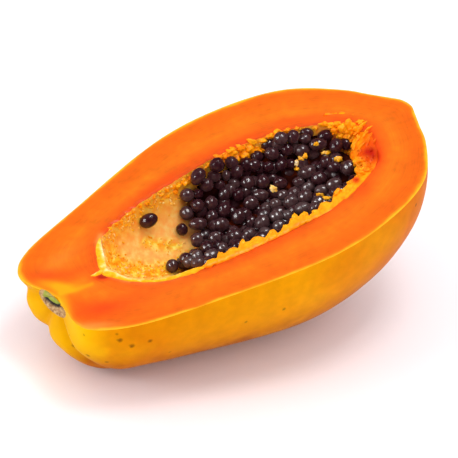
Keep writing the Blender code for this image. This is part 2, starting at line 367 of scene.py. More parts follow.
def place_on_sheet(row, column):
    """Gives the place, how far across the cut it is, and its turn."""
    if column <= SKIN_COLUMNS:
        return on_skin(row, column)
    column -= SKIN_COLUMNS
    on_the_cut = column < FACE_COLUMNS or column > FACE_COLUMNS + WALL_COLUMNS
    return on_face(row, column) if on_the_cut else on_wall(row, column)


print("the grid has", STATIONS, "steps along and", COLUMNS, "round")

# %% [markdown]
# The grid is made flat, and each vertex goes to its place. It takes along what the materials will
# ask for: where it is, and how golden, red, pale, stained or grainy the flesh is there. The stain is
# where the seeds' gel coloured the wall, and it also darkens the wall as painted shade under the
# seeds, so it ends where the heap of seeds does.

# %% Roll the grid up
SKIN, FLESH, LINING = range(3)
NOTES = ("along", "band", "turn", "gold", "red", "pale", "gel_stain_and_shade", "grain")
# the heap begins this far along the fruit at these turns, and ends at the same place all round
HEAP_TURNS = (0, 15, 60, 78, 180)
HEAP_STARTS = (0.49, 0.44, 0.41, 0.32, 0.40)
HEAP_END = 0.822


def heap_start(turn):
    return float(np.interp(turn, HEAP_TURNS, HEAP_STARTS))


def flesh_notes(place, turn):
    px, py = picture(place)
    share = place.x / FRUIT_LENGTH
    gold = pale_line = 0
    if px < 110:
        gold = spot_weight(px, py, GOLD_SPOTS) + 0.5 * line_weight(px, py, GOLD_LINE, 2.0)
    if px < 200:
        pale_line = (0.8 if px < 130 else 0.4) * line_weight(px, py, PITH_LINE, 3.2)
    # the seeds' gel stain, and painted shade too: the wall darkens where the heap of seeds lies on it
    gel_stain_and_shade = (
        smooth_step((share - heap_start(turn) + 0.02) / 0.05) * smooth_step((turn - 13) / 9)
        * smooth_step((HEAP_END + 0.012 - share) / 0.03)
    )
    return {
        "gold": gold, "red": spot_weight(px, py, RED_SPOTS),
        "pale": spot_weight(px, py, PALE_SPOTS) + pale_line,
        "gel_stain_and_shade": gel_stain_and_shade, "grain": rough_wall(place, share, turn),
    }


sheet = bmesh.new()
bmesh.ops.create_grid(sheet, x_segments=STATIONS, y_segments=COLUMNS, size=1)
layers = {name: sheet.verts.layers.float.new(name) for name in NOTES}
for face in sheet.faces:
    column = (face.calc_center_median().y + 1) / 2 * COLUMNS - SKIN_COLUMNS
    on_the_wall = FACE_COLUMNS < column < FACE_COLUMNS + WALL_COLUMNS
    face.material_index = SKIN if column < 0 else LINING if on_the_wall else FLESH
for vertex in sheet.verts:
    row = round((vertex.co.x + 1) / 2 * STATIONS)
    column = round((vertex.co.y + 1) / 2 * COLUMNS)
    place, band, turn = place_on_sheet(row, column)
    vertex.co = place
    values = {"along": place.x / FRUIT_LENGTH, "band": band, "turn": turn / 180}
    if column > SKIN_COLUMNS:
        values.update(flesh_notes(place, turn))
    for name, value in values.items():
        vertex[layers[name]] = value
print("rolled up:", len(sheet.verts), "places")

# %% [markdown]
# The rolled sheet meets itself along one seam and at both ends, and merging the doubles closes it.
# Where the rows crowd together at the ends, a slit of a few microns is left, so the vertices along
# it are merged from a little further off, and what is still open is filled.

# %% Close the seams
DOUBLE, SLIT = 2e-6, 3e-5
bmesh.ops.remove_doubles(sheet, verts=sheet.verts, dist=DOUBLE)
bmesh.ops.dissolve_degenerate(sheet, edges=sheet.edges, dist=DOUBLE)
bmesh.ops.remove_doubles(sheet, verts=[vertex for vertex in sheet.verts if vertex.is_boundary], dist=SLIT)
bmesh.ops.holes_fill(sheet, edges=[edge for edge in sheet.edges if edge.is_boundary], sides=0)
bmesh.ops.recalc_face_normals(sheet, faces=sheet.faces)


def open_edges(bm):
    return sum(len(edge.link_faces) != 2 for edge in bm.edges)


print("half:", len(sheet.faces), "faces,", open_edges(sheet), "open edges,",
      round(sheet.calc_volume() * 1e6), "cm3")

# %% [markdown]
# While the half still lies in its own frame, a search tree is made of it. Everything that sits on
# the wall or the skin is dropped onto that tree. Then the half is laid down by a function that every
# other piece goes through too: its faces are turned outwards and shaded smooth, and no point of it
# ends up under the table.

# %% Lay the half down
body_tree = BVHTree.FromBMesh(sheet)


def finish_piece(bm, name):
    bmesh.ops.recalc_face_normals(bm, faces=bm.faces)
    bmesh.ops.transform(bm, matrix=lie_down, verts=bm.verts)
    for face in bm.faces:
        face.smooth = True
    for vertex in bm.verts:
        vertex.co.z = max(vertex.co.z, 0)
    mesh = bpy.data.meshes.new(name)
    bm.to_mesh(mesh)
    bm.free()
    piece = bpy.data.objects.new(name, mesh)
    bpy.context.scene.collection.objects.link(piece)
    return piece


half = finish_piece(sheet, "papaya_half")
half.data.set_sharp_from_angle(angle=math.radians(50))
print("the half is", [round(1000 * v, 1) for v in half.dimensions], "mm")

# %% [markdown]
# ## Where the seeds lie
# Papaya seeds are dark beads, 5 to 7 mm long, each in a clear wrinkled skin that shines where it is
# wet. They cling to the wall in layers. The surface through the middles of the top layer is a trough
# inside the hollow. Those that the picture shows are dropped onto it along their lines of sight.

# %% The trough through the middles of the seeds
SEED_SPACING = 0.0059
SEED_INSET = 0.0041
SEED_PILE = 0.0045
LEAST_INSET = 0.0026
TROUGH_STEPS = 48
fine_hollow = hollow * FRUIT_LENGTH


def inset_curve(curve, inset):
    """The curve moved inwards by this much."""
    slope = np.gradient(curve, axis=0)
    slope /= np.linalg.norm(slope, axis=1)[:, None]
    moved = curve + inset * np.column_stack((slope[:, 1], -slope[:, 0]))
    kept = moved[moved[:, 1] > 0]
    return kept[np.argsort(kept[:, 0])]


def on_heap(x, turn, deeper=0.0):
    """A point of the trough, or of one that lies deeper by this much."""
    inset = SEED_INSET + SEED_PILE * math.sin(math.radians(turn)) ** 2
    inner = inset_curve(fine_hollow, max(inset - deeper, LEAST_INSET))
    return hollow_point(x, float(np.interp(x, inner[:, 0], inner[:, 1])), turn)


trough = bmesh.new()
bmesh.ops.create_grid(trough, x_segments=TROUGH_STEPS, y_segments=TROUGH_STEPS, size=0.5)
for vertex in trough.verts:
    turn = 180 * (vertex.co.x + 0.5)
    start = heap_start(turn)
    share = start + (HEAP_END + 0.01 - start) * (vertex.co.y + 0.5)
    vertex.co = on_heap(share * FRUIT_LENGTH, turn)
bmesh.ops.recalc_face_normals(trough, faces=trough.faces)
trough_tree = BVHTree.FromBMesh(trough)
print("the trough is", round(-1000 * min(vertex.co.z for vertex in trough.verts), 1), "mm deep")
trough.free()

# %% [markdown]
# The seeds that show are listed: where each is in the picture, how long and how thick it
# looks in pixels, how it leans, and whether it is in front (0) or tucked behind its neighbours. A
# tucked one moves back along its line of sight until it only touches those in front.

# %% The seeds that show
# middle x and y, length and thickness in pixels, lean in degrees, layer
SEEN_SEEDS = (
    (144.5, 219.5, 18.5, 13.5, 28, 0), (183.5, 195, 14, 13.5, 0, 0), (184, 214, 14.5, 13.5, -20, 0),
    (180, 231, 12.5, 11.5, 90, 0), (197, 240, 14, 13, 90, 0), (198, 176.5, 18, 14, 60, 0),
    (217, 165, 15.5, 14.5, 60, 0), (206.5, 185, 14.5, 14, 0, 0), (197.5, 194, 12, 11, 0, 1),
    (197.5, 205.5, 14, 13.5, 0, 0), (198, 224, 18, 12.5, 10, 0), (211, 203, 14.5, 14, 90, 0),
    (214, 176.5, 14, 12, 0, 1), (226, 175.5, 11, 9.5, 90, 1), (236.5, 172, 15, 14, 70, 0),
    (219, 185, 13, 11, 0, 2), (234, 183.5, 13, 11, -20, 1), (224, 194.5, 14, 12.5, 80, 0),
    (224, 210, 16.5, 14, 75, 0), (238, 195, 14, 12.5, 80, 0), (234, 204, 13, 11.5, 60, 1),
    (212, 216.5, 14, 12.5, 80, 1), (222, 224.5, 15, 14, 0, 0), (238.5, 217, 16, 14, 80, 0),
    (214.5, 238.5, 14, 12.5, 60, 1), (205, 246, 14, 12.5, 0, 0), (197, 256.5, 13, 11.5, 70, 1),
    (211, 255.5, 14.5, 12, 15, 0), (198, 263, 14.5, 11.5, 12, 0), (171, 269.5, 13.5, 12.5, 80, 0),
    (181, 267, 13, 12, 0, 1), (189, 262, 12, 11, 30, 1), (227, 241, 14, 12, 70, 1),
    (223, 248.5, 12, 11, 80, 0), (235.5, 236, 15, 13, 0, 0), (254, 165, 14, 13.5, 0, 0),
    (268, 167, 12.5, 11.5, 0, 0), (281, 165, 13.5, 12.5, 45, 0), (291, 164, 12, 11, 0, 1),
    (289, 173, 13, 12, 0, 1), (247.5, 183, 15, 14.5, 0, 0), (263, 182, 15, 14, 80, 0),
    (280, 183, 15, 12.5, -10, 0), (246, 172, 13, 11, 60, 2), (257, 156, 13, 11, 0, 2),
    (272, 153.5, 15.5, 13, -15, 0), (287, 149.5, 13.5, 13, 0, 0), (281, 138.5, 14.5, 14, 0, 0),
    (268, 144.5, 14, 11, 20, 1), (293, 137, 15, 13.5, 80, 0), (306, 130.5, 14.5, 12.5, 0, 1),
    (305, 138.5, 12, 10.5, 0, 0), (302, 150.5, 15.5, 13.5, 10, 0), (318, 144.5, 19, 13, 0, 0),
    (313, 154, 14, 11, 10, 1), (325, 136, 17, 12.5, 20, 1), (326, 162, 13, 13, 0, 0),
    (311, 163.5, 17, 13, 10, 1), (308, 172, 17, 14, 20, 0), (319, 178.5, 16, 14.5, 0, 0),
    (336, 146, 16, 13, 70, 1), (346, 144, 13, 11, -60, 2), (349, 168, 16, 15.5, 90, 0),
    (334.5, 167, 15, 11.5, 0, 0), (334, 184, 16.5, 12, 20, 0), (322, 190.5, 15, 11.5, 0, 1),
    (299, 182, 13, 12, 0, 2), (305, 197, 16.5, 15, 60, 0), (308, 187.5, 14, 11, 30, 1),
    (291, 202, 16, 15, 60, 0), (303, 208.5, 17, 13, 10, 0), (318, 202, 14, 12, 40, 1),
    (275.5, 204, 12.5, 12, 0, 0), (283, 195, 12, 11, 30, 1), (260.5, 195, 16, 12, 5, 0),
    (251, 203, 15.5, 14.5, 0, 0), (266, 209, 14, 12.5, 70, 0), (276, 217, 14, 13.5, 30, 0),
    (287, 216, 13, 12, 0, 1), (279, 226, 13, 12, 20, 0), (262, 223, 17, 15, 70, 0),
    (251, 222, 13, 11, 80, 1), (249.5, 234, 14, 13, 0, 0), (265, 233, 13, 12, 10, 1),
    (243, 226.5, 13, 11, 0, 2), (336, 175, 13, 11, 0, 2), (272, 178, 12, 10, 0, 2), (292, 187, 14, 13, 0, 2),
)
PLUMP = 1.07
STAND_OFF = 0.8
LAYER_STEP = 0.0012
NESTLED = 0.88
BACK_STEP, MOST_STEPS = 0.0003, 30
placed = []


def drop_seed(px, py, radius, layer):
    """On the trough, or off the bare wall by most of its radius, and then back until it is clear."""
    towards = sight(px, py)
    place, normal, _, away = body_tree.ray_cast(EYE, towards)
    place = place + normal * STAND_OFF * radius
    trough_hit = trough_tree.ray_cast(EYE, towards)
    if trough_hit[0] is not None and trough_hit[3] < away:
        place = trough_hit[0].copy()
    place += towards * LAYER_STEP * layer
    for _ in range(MOST_STEPS):
        if all((place - other).length > NESTLED * (radius + size) for other, size in placed):
            break
        place += towards * BACK_STEP
    placed.append((place, radius))
    return place


seen_seeds = []
for px, py, long, thick, lean, layer in sorted(SEEN_SEEDS, key=lambda seed: seed[5]):
    long, thick = long * PLUMP * PIXEL, thick * PLUMP * PIXEL
    place = drop_seed(px, py, (long + 2 * thick) / 6, layer)
    seen_seeds.append((place, long / 2, thick / 2, lean, px, py))
print(len(seen_seeds), "seeds placed by eye, mean length",
      round(2000 * sum(seed[1] for seed in seen_seeds) / len(seen_seeds), 1), "mm")

# %% [markdown]
# The rest of the heap is where the picture can't see: the near wall and the layers beneath. A
# staggered lattice gives their places, and a seeded shake keeps them from lining up. Torn pulp
# closes the far end of the heap, and more of it on the near side, so the lattice ends earlier there.

# %% The seeds that fill the heap
HEAP_RIM_TURN = 7
HEAP_REACH, NEAR_REACH, NEAR_SIDE = 0.80, 0.76, -0.008
SEED_RADIUS = 0.0029
SHAKE, SHAKE_TURN = 0.0008, 2
# layers: how deep under the trough, and how close seeds may be, as a share of their radii
LAYERS = ((0.0006, 0.78), (0.0022, 0.60), (0.0042, 0.55))
draw = random.Random(11)


def lattice(deeper):
    places = []
    step = SEED_SPACING * 0.87
    for row in range(int(0.55 * FRUIT_LENGTH / step)):
        x = HEAP_END * FRUIT_LENGTH - row * step
        radius = -on_heap(x, 90, deeper).z / HOLLOW_DEPTH
        across = max(int(math.pi * radius / SEED_SPACING), 1)
        for i in range(across):
            turn = HEAP_RIM_TURN + (180 - 2 * HEAP_RIM_TURN) * (i + 0.25 + 0.5 * (row % 2)) / across
            if x > heap_start(turn) * FRUIT_LENGTH + 0.005 and turn < 180 - HEAP_RIM_TURN:
                shaken_x = x + draw.uniform(-1, 1) * SHAKE
                places.append(on_heap(shaken_x, turn + draw.uniform(-SHAKE_TURN, SHAKE_TURN), deeper))
    return places


fill_seeds = []
for deeper, clear in LAYERS:
    for place in lattice(deeper):
        radius = SEED_RADIUS * draw.uniform(0.93, 1.06)
        free = all((place - other).length > clear * (radius + size) for other, size in placed)
        reach = HEAP_REACH if place.y > NEAR_SIDE else NEAR_REACH
        if free and place.x < reach * FRUIT_LENGTH:
            placed.append((place, radius))
            fill_seeds.append((place, radius * 1.08, radius))
print(len(fill_seeds), "seeds fill the heap")

# %% [markdown]
# ## One seed, many times
# Each seed is an icosphere, a ball of even triangles, with its vertices nudged by noise so that no
# two look the same. All of them are one mesh, because they are one heap of one kind. Each keeps two
# values on its vertices: how brown it is, and how dull. Those by the near rim have dried a little.

# %% One lump, and many
BUNCH = 40


def add_lump(bm, place, turned, size, rough, subdivisions=2, frequency=1.1):
    made = bmesh.ops.create_icosphere(bm, subdivisions=subdivisions, radius=1)["verts"]
    offset = Vector([draw.uniform(-50, 50) for _ in range(3)])
    for vertex in made:
        vertex.co *= 1 + rough * noise.noise(vertex.co * frequency + offset)
    matrix = Matrix.Translation(place) @ turned.to_4x4() @ Matrix.Diagonal((*size, 1))
    bmesh.ops.transform(bm, matrix=matrix, verts=made)
    return made


def gather(whole, lumps, names):
    """Adds lumps, each (values, settings), in small bunches, because a bmesh slows down as it grows."""
    for start in range(0, len(lumps), BUNCH):
        bunch = bmesh.new()
        values_kept = [bunch.verts.layers.float.new(name) for name in names]
        for values, settings in lumps[start : start + BUNCH]:
            for vertex in add_lump(bunch, *settings):
                for layer, value in zip(values_kept, values):
                    vertex[layer] = value
        part = bpy.data.meshes.new("bunch")
        bunch.to_mesh(part)
        bunch.free()
        whole.from_mesh(part)
        bpy.data.meshes.remove(part)


def any_turn():
    x, z, y = (Matrix.Rotation(draw.uniform(0, math.tau), 3, axis) for axis in "XZY")
    return z @ y @ x


def seen_turn(lean):
    """Long axis at this lean in the picture, thin axis towards the eye."""
    c, s = math.cos(math.radians(lean)), math.sin(math.radians(lean))
    long = SEEN_RIGHT * c + SEEN_UP * s
    return Matrix((long, SEEN_BACK.cross(long), SEEN_BACK)).transposed()


print("a seed that leans 90 degrees points", [round(v, 2) for v in seen_turn(90).col[0]])

# %% [markdown]
# A seed that shows is a finer ball than one in the depth of the heap, and it leans as it does in the
# picture. How dry it is comes from how far above the near rim it shows.

# %% Seed meshes
NEAR_RIM_LINE = ((205, 268), (345, 190))
DRY_REACH, DRY_FADE = 34, 30
lumps = []
for place, long, thick, lean, px, py in seen_seeds:
    (ax, ay), (bx, by) = NEAR_RIM_LINE
    above = ((bx - ax) * (ay - py) - (ay - by) * (px - ax)) / math.hypot(bx - ax, by - ay)
    dry = smooth_step((DRY_REACH - above) / DRY_FADE) * draw.uniform(0.3, 1)
    values = min(0.6 * dry + draw.uniform(0, 0.5), 1), min(dry + draw.random() ** 3, 1)
    lumps.append((values, (place, seen_turn(lean), (long, thick, thick), 0.07, 3)))
for place, long, thick in fill_seeds:
    values = draw.random() * 0.5, draw.random() ** 2
    lumps.append((values, (place, any_turn(), (long, thick, thick), 0.1)))
heap = bmesh.new()
gather(heap, lumps, ("brown", "dull"))
seeds = finish_piece(heap, "wet_seeds")
print("seeds:", len(seeds.data.polygons), "faces")

# %% [markdown]
# ## Core of the heap
# Under the seeds there is red-brown pulp. Only shadow and a dull gleam of it reach the eye, so one
# dark body stands for it: a grid folded round the inside of the heap, thin at its edges.

# %% Core
CORE_TURNS, CORE_STATIONS = 40, 44
CORE_RIM_TURN = 16
CORE_OFF_WALL, CORE_DEEPER = 0.0007, 0.0028
core = bmesh.new()
bmesh.ops.create_grid(core, x_segments=CORE_TURNS, y_segments=2 * CORE_STATIONS, size=1)
for vertex in core.verts:
    turn = CORE_RIM_TURN + (180 - 2 * CORE_RIM_TURN) * (vertex.co.x + 1) / 2
    share = 1 - abs(vertex.co.y)
    start = heap_start(turn) + 0.05
    x = (start + (HEAP_END - 0.01 - start) * share) * FRUIT_LENGTH
    wall = float(np.interp(x, *inset_curve(fine_hollow, CORE_OFF_WALL).T))
    top = on_heap(x, turn, CORE_DEEPER)
    radius = Vector((0, top.y, top.z / HOLLOW_DEPTH)).length
    edge = min(1, 8 * share, 8 * (1 - abs(vertex.co.x)))
    vertex.co = hollow_point(x, wall if vertex.co.y < 0 else wall + (radius - wall) * edge, turn)
bmesh.ops.remove_doubles(core, verts=core.verts, dist=DOUBLE)
bmesh.ops.holes_fill(core, edges=[edge for edge in core.edges if edge.is_boundary], sides=0)
print("core:", len(core.faces), "faces,", open_edges(core), "open edges")
seed_bed = finish_piece(core, "seed_bed")

# %% [markdown]
# ## Torn lips
# At the near rim the pulp tore into a thin lip with pointed teeth that leans over the seeds. A pale
# pith rings the stem end. At the blossom end a torn mass hangs over the hollow, with one pale ridge
# beside it. Each is a flattened tube: a grid rolled up between two edges, which are listed side by
# side as the picture shows them on the cut plane. Its outer edge reaches into the flesh, so the lip
# is rooted wherever it is seen from.

# %% The edges of the lips
# each row: x and y of the outer edge, then x and y of the inner edge, in pixels
NEAR_LIP = (
    (190, 270.5, 190, 269), (199, 268.5, 199, 267), (205, 267, 205, 264), (207, 266, 207, 260.5),
    (212, 264, 212, 259.5), (217, 262, 217, 258.5), (219, 261.5, 219, 252), (222, 260.5, 221.5, 254.5),
    (226, 259.5, 226, 254), (229, 258, 229, 250), (233, 256.5, 233, 248), (238, 254.5, 238.5, 249),
    (240, 254, 240.5, 241.5), (243, 253, 243, 239), (246, 251.5, 246, 243), (250, 250, 250, 242),
    (254, 248, 254, 238), (259, 246, 258.5, 237), (265, 242.5, 265, 238.5), (268, 241, 268, 235),
    (270, 240, 270, 231), (274, 238, 273.5, 230), (278, 236.5, 278, 233.5), (281, 235, 281, 231),
    (284, 233.5, 284, 225.5), (289, 231, 288.5, 225), (291, 230, 291, 219), (295, 227.5, 294.5, 213.5),
    (299, 225, 299, 217.5), (301, 224, 301, 214), (304, 222.5, 304, 211.5), (307, 221, 307.5, 213),
    (309, 220.5, 309, 217), (313, 219, 312.5, 213), (318, 217.5, 318, 210.5), (320, 217, 320, 204),
    (326, 214.5, 325.5, 202), (332, 211, 331.5, 202.5), (335, 209.5, 334, 193), (339, 206, 337.5, 188),
    (344, 200, 343, 190), (348, 196, 346, 186.5), (352, 191.5, 350, 181), (357, 186, 354, 177),
    (363, 179.5, 357, 172), (368, 173, 360, 163), (372, 168, 364, 158),
)
PITH_LIP = (
    (108, 223, 108.4, 222.8), (102.5, 230, 103.2, 229.7), (98.5, 238, 100.2, 237.6), (98, 250, 102.5, 249.5),
    (99.5, 258, 105, 257.5), (100.5, 265, 106, 265), (100, 271, 107, 269.5), (106, 273.5, 111, 270.5),
    (115, 276.5, 118.5, 273.5), (123, 279.2, 125.5, 277), (133, 281, 134, 279), (146, 281.8, 147, 280),
    (160, 281, 160, 279.4), (176, 277.6, 175, 275.2), (190, 273, 189, 270), (206, 267.5, 205.5, 264.5),
)
PITH_BRANCH = (
    (89, 276.4, 89, 276), (94, 275.2, 93.5, 273.8), (99, 272.8, 98.5, 270.6), (103, 271, 102.5, 269),
)
END_MASS = (
    (312, 122, 312, 126), (322, 119, 323, 128), (333, 117, 334, 132), (345, 117, 344, 137),
    (356, 120, 351, 141), (364, 126, 353, 147), (369, 135, 351, 152), (373, 146, 349, 157),
    (375, 157, 352, 161), (375, 167, 358, 168), (369, 174, 356, 175), (363, 180, 353, 181),
)
RIM_RIDGE = (
    (343, 202, 342, 199), (350, 193.5, 348.5, 191), (357, 186, 355.5, 183), (363, 180, 361, 177),
    (369, 173, 367, 170), (373.5, 166, 371, 164), (374, 161, 372, 160),
)
print("the near lip has", len(NEAR_LIP), "rows of points and the torn mass", len(END_MASS))

# %% [markdown]
# The rows are filled in first, and all but those of the near lip and the ridge are smoothed, because
# wet torn pulp is soft. Noise then pushes the tube about, least at its inner edge, so that the teeth
# stay where the picture shows them.

# %% Lips and ridges
ROOT = 0.0016
ROW_STEPS, ROUND_STEPS = 6, 14
FULL_WIDTH = 0.004
# strength and width in metres
LIP_TEARS = ((1, 0.0022), (0.6, 0.0010))
pulp_lumps = bmesh.new()
paleness = pulp_lumps.verts.layers.float.new("paleness")


def on_cut(px, py, height):
    """The point of the cut plane, or of one this much higher, that a pixel shows."""
    towards = sight(px, py)
    return EYE + towards * ((height - EYE.z) / towards.z)


def torn_lip(rows, thick, height, pale, torn, dip=0.0, soft=1):
    """A rough flattened tube between two edges; the inner one lies lower by dip."""
    rows = np.array(rows, float)
    steps = ROW_STEPS * len(rows)
    fine = np.linspace(0, len(rows) - 1, steps + 1)
    rows = np.column_stack([np.interp(fine, range(len(rows)), edge) for edge in rows.T])
    padded = np.pad(rows, ((soft // 2, soft // 2), (0, 0)), mode="edge")
    rows = np.column_stack([np.convolve(edge, np.ones(soft) / soft, mode="valid") for edge in padded.T])
    made = bmesh.ops.create_grid(pulp_lumps, x_segments=steps, y_segments=ROUND_STEPS, size=1)["verts"]
    for vertex in made:
        t, round_it = (vertex.co.x + 1) / 2, (vertex.co.y + 1) * math.pi
        ax, ay, bx, by = rows[round(t * steps)]
        outer, inner = on_cut(ax, ay, height), on_cut(bx, by, height - dip)
        reach = inner - outer
        outer -= reach.normalized() * min(reach.length, ROOT)
        taper = min(1, 10 * t, 10 * (1 - t)) ** 0.5
        up = thick * (0.35 + 0.65 * min(reach.length / FULL_WIDTH, 1)) * taper
        point = (outer + inner) / 2 + (inner - outer) / 2 * math.cos(round_it) * max(taper, 0.2)
        point.z += up / 2 * math.sin(round_it)
        pushed = 0.4 + 0.6 * (1 - math.cos(round_it)) / 2
        point += torn * swell(point, LIP_TEARS) * Vector((0.5, 0.7, 0.6)) * pushed
        vertex.co = point
        inwards = (1 + math.cos(round_it)) / 2
        vertex[paleness] = pale * (0.3 + 0.7 * inwards) + 0.25 * noise.noise(point / 0.003)
    bmesh.ops.remove_doubles(pulp_lumps, verts=made, dist=DOUBLE)


torn_lip(NEAR_LIP, 0.0030, -0.0012, 0.5, 0.0007)
# the pith is palest round the stem end and turns golden along the near rim
torn_lip(PITH_LIP[:12], 0.0009, -0.0005, 1.05, 0.00015, soft=7)
torn_lip(PITH_LIP[8:], 0.0008, -0.0006, 0.8, 0.0004, soft=5)
torn_lip(PITH_BRANCH, 0.0005, -0.0001, 0.9, 0.0001, soft=5)
torn_lip(END_MASS, 0.0040, -0.0016, 0.2, 0.0012, dip=0.005, soft=9)
# the chunks and strands that follow are dropped onto these, but not onto the ridge
lip_tree = BVHTree.FromBMesh(pulp_lumps)
torn_lip(RIM_RIDGE, 0.0009, -0.0004, 0.5, 0.0002)
print("lips and ridges:", len(pulp_lumps.faces), "faces")

# %% [markdown]
# ## Torn pulp
# Where the seeds were pulled off the wall, the pulp tore into soft wet chunks of 2 to 4 mm and, at
# the blossom end, into strands. A few bits lie on the seeds. Each is a rough lump at the pixel where
# it shows. It is dropped onto the lip, the wall or the seed that carries it, and sinks in a little.

# %% Where the chunks, strands and bits are
# chunks: middle x and y, width and height in pixels
NEAR_CHUNKS = (
    (220, 255, 5, 5), (233, 250, 5, 3), (243, 244, 6, 7), (250, 245, 7, 4), (257, 240, 7, 4),
    (272, 234, 6, 5), (286, 227, 6, 4), (294, 219, 6, 8), (304, 216, 6, 7), (316, 212, 7, 4),
    (324, 205, 8, 4), (330, 205, 6, 4), (337, 195, 7, 10), (343, 192, 6, 8), (350, 184, 6, 7),
    (356, 179, 5, 6), (362, 171, 6, 7), (366, 165, 7, 6), (361, 162, 9, 6),
)
FAR_CHUNKS = (
    (222, 163, 9, 8), (229, 160, 7, 10), (235, 159, 9, 9), (244, 156, 11, 9), (250, 149, 10, 8),
    (257, 150, 9, 8), (264, 150, 7, 6), (240, 148, 9, 7), (232, 152, 9, 7), (226, 156, 7, 7),
    (262, 141, 10, 5), (271, 136, 10, 5), (252, 142, 9, 5), (277, 132, 9, 5), (213, 168, 5, 6),
    (218, 157, 7, 4), (335, 130, 9, 7), (343, 128, 9, 9), (350, 131, 9, 8), (357, 129, 7, 7),
    (348, 137, 9, 6), (338, 124, 9, 5), (325, 125, 11, 5), (316, 128, 5, 4), (331, 126, 8, 6),
    (350, 151, 4, 8), (346, 153, 5, 7), (362, 162, 9, 7), (366, 167, 8, 7), (359, 168, 8, 8),
    (357.5, 137, 3.5, 6), (355, 142, 3.5, 7), (352, 148, 3, 6), (351, 125, 9, 5), (361, 174, 7, 6),
    (297, 129, 5, 4), (287, 131, 6, 4), (341, 180, 5, 6), (189, 178, 5, 5), (207, 166, 6, 5),
    (348, 125, 8, 10), (356, 133, 5, 9), (353, 145, 4, 9), (358, 161, 10, 9), (364, 163, 8, 9),
    (371, 162, 5, 9), (349, 160, 5, 7), (353, 167, 6, 8), (368, 170, 8, 6), (360, 122, 9, 4),
    (331, 133, 8, 6), (341, 136, 8, 6), (200, 172, 6, 6), (194, 176, 7, 6), (184, 182, 7, 7),
    (178, 186, 6, 6), (188, 181, 6, 5), (173, 187, 5, 5), (167, 190, 5, 4), (161, 195, 5, 4),
    (154, 197, 4, 4), (147, 203, 5, 4), (140, 206, 4, 4), (175, 192, 5, 4), (133, 212, 4, 3),
    (127, 215, 4, 4), (121, 221, 4, 3), (116, 224, 4, 3), (168, 196, 4, 4), (110, 229, 4, 3),
)
# wet strands at the torn end: place, length and thickness in pixels, lean
STRANDS = (
    (359, 130, 13, 3.2, 55), (364, 136, 14, 3, 62), (357, 141, 13, 3.2, 66), (368, 143, 13, 2.6, 72),
    (354, 149, 10, 3, 78), (361, 147, 12, 3, 48), (368, 129, 9, 2.6, 40), (347, 131, 9, 3.4, 35),
    (371, 151, 9, 2.6, 85), (365, 157, 12, 3, 20), (352, 134, 12, 3, 45), (362, 125, 12, 3, 30),
    (374, 143, 9, 2.4, 75), (359, 153, 9, 2.6, 60), (369, 137, 10, 2.4, 55), (360, 163, 12, 3.4, 15),
    (369, 163, 10, 3, 60), (352, 139, 9, 2.6, 50), (364, 169, 10, 3.2, 45), (356, 172, 9, 3, 35),
    (372, 158, 8, 2.4, 70),
)
# where the torn end is red: centre, half length and half height in pixels, lean, strength
RIPE_SPOTS = (
    (370, 149, 10, 17, 0, 1.0), (374, 155, 6, 8, 0, 1.0), (364, 152.5, 6, 4, 30, 1.0),
    (352, 152, 4, 6, 0, 0.5), (356, 180, 4, 3, 0, 1.6),
)
LOOSE_BITS = (
    (305, 155.5, 5, 6), (301, 158.5, 6, 4), (296.5, 163, 4.5, 7), (297, 168.5, 5, 5), (316, 144, 4.5, 4.5),
    (273.5, 189, 6, 8), (338, 159, 8, 6), (326, 152.5, 9, 4), (320, 195, 8, 4), (327, 198, 8, 4),
)
print(len(NEAR_CHUNKS) + len(FAR_CHUNKS), "chunks,", len(STRANDS), "strands,", len(LOOSE_BITS), "loose bits")

# %% [markdown]
# A lump goes as deep as the mean of its width and its height, but at most one and a half times its
# height, so a strand stays thin. Chunks lean at random by up to 25 degrees, and strands by 8.

# %% Chunks of pulp
chunks = []


def add_chunk(place, wide, high, pale, lean=0, spread=25):
    size = (wide / 2 * PIXEL, high / 2 * PIXEL, min(wide + high, 3 * high) / 4 * PIXEL)
    value = min(max(pale + draw.uniform(-0.2, 0.2), 0), 1)
    turned = seen_turn(lean + draw.uniform(-spread, spread))
    chunks.append(((value,), (place, turned, size, 0.75, 3, 1.5)))


def drop_on_pulp(px, py):
    """The place on the wall, or on the lip where that is nearer, that a pixel shows, and its normal."""
    place, normal, _, away = body_tree.ray_cast(EYE, sight(px, py))
    lip_place, lip_normal, _, lip_away = lip_tree.ray_cast(EYE, sight(px, py))
    return (lip_place, lip_normal) if lip_place is not None and lip_away < away else (place, normal)


SINK = 0.0002
SWOLLEN = 1.15
for px, py, wide, high in NEAR_CHUNKS:
    add_chunk(on_cut(px, py, -0.0006), wide, high, 0.5)
for px, py, wide, high in FAR_CHUNKS:
    place, normal = drop_on_pulp(px, py)
    add_chunk(place - normal * SINK, wide * SWOLLEN, high * SWOLLEN, 0.32)
for px, py, long, thick, lean in STRANDS:
    add_chunk(drop_on_pulp(px, py)[0], long, thick, 0.45, lean, 8)
seed_places = [stand_up @ vertex.co for vertex in seeds.data.vertices]
seed_tree = BVHTree.FromPolygons(seed_places, [face.vertices[:] for face in seeds.data.polygons])
for px, py, wide, high in LOOSE_BITS:
    towards = sight(px, py)
    hit = seed_tree.ray_cast(EYE, towards)[0] or body_tree.ray_cast(EYE, towards)[0]
    add_chunk(hit - towards * SINK, wide, high, 0.8)
print(len(chunks), "lumps of pulp")

# %% [markdown]
# Finer grains of the same pulp cover the rough strips of the wall. A grain is tried at a random
# place, and kept only where the wall is rough and no seeds cover it.

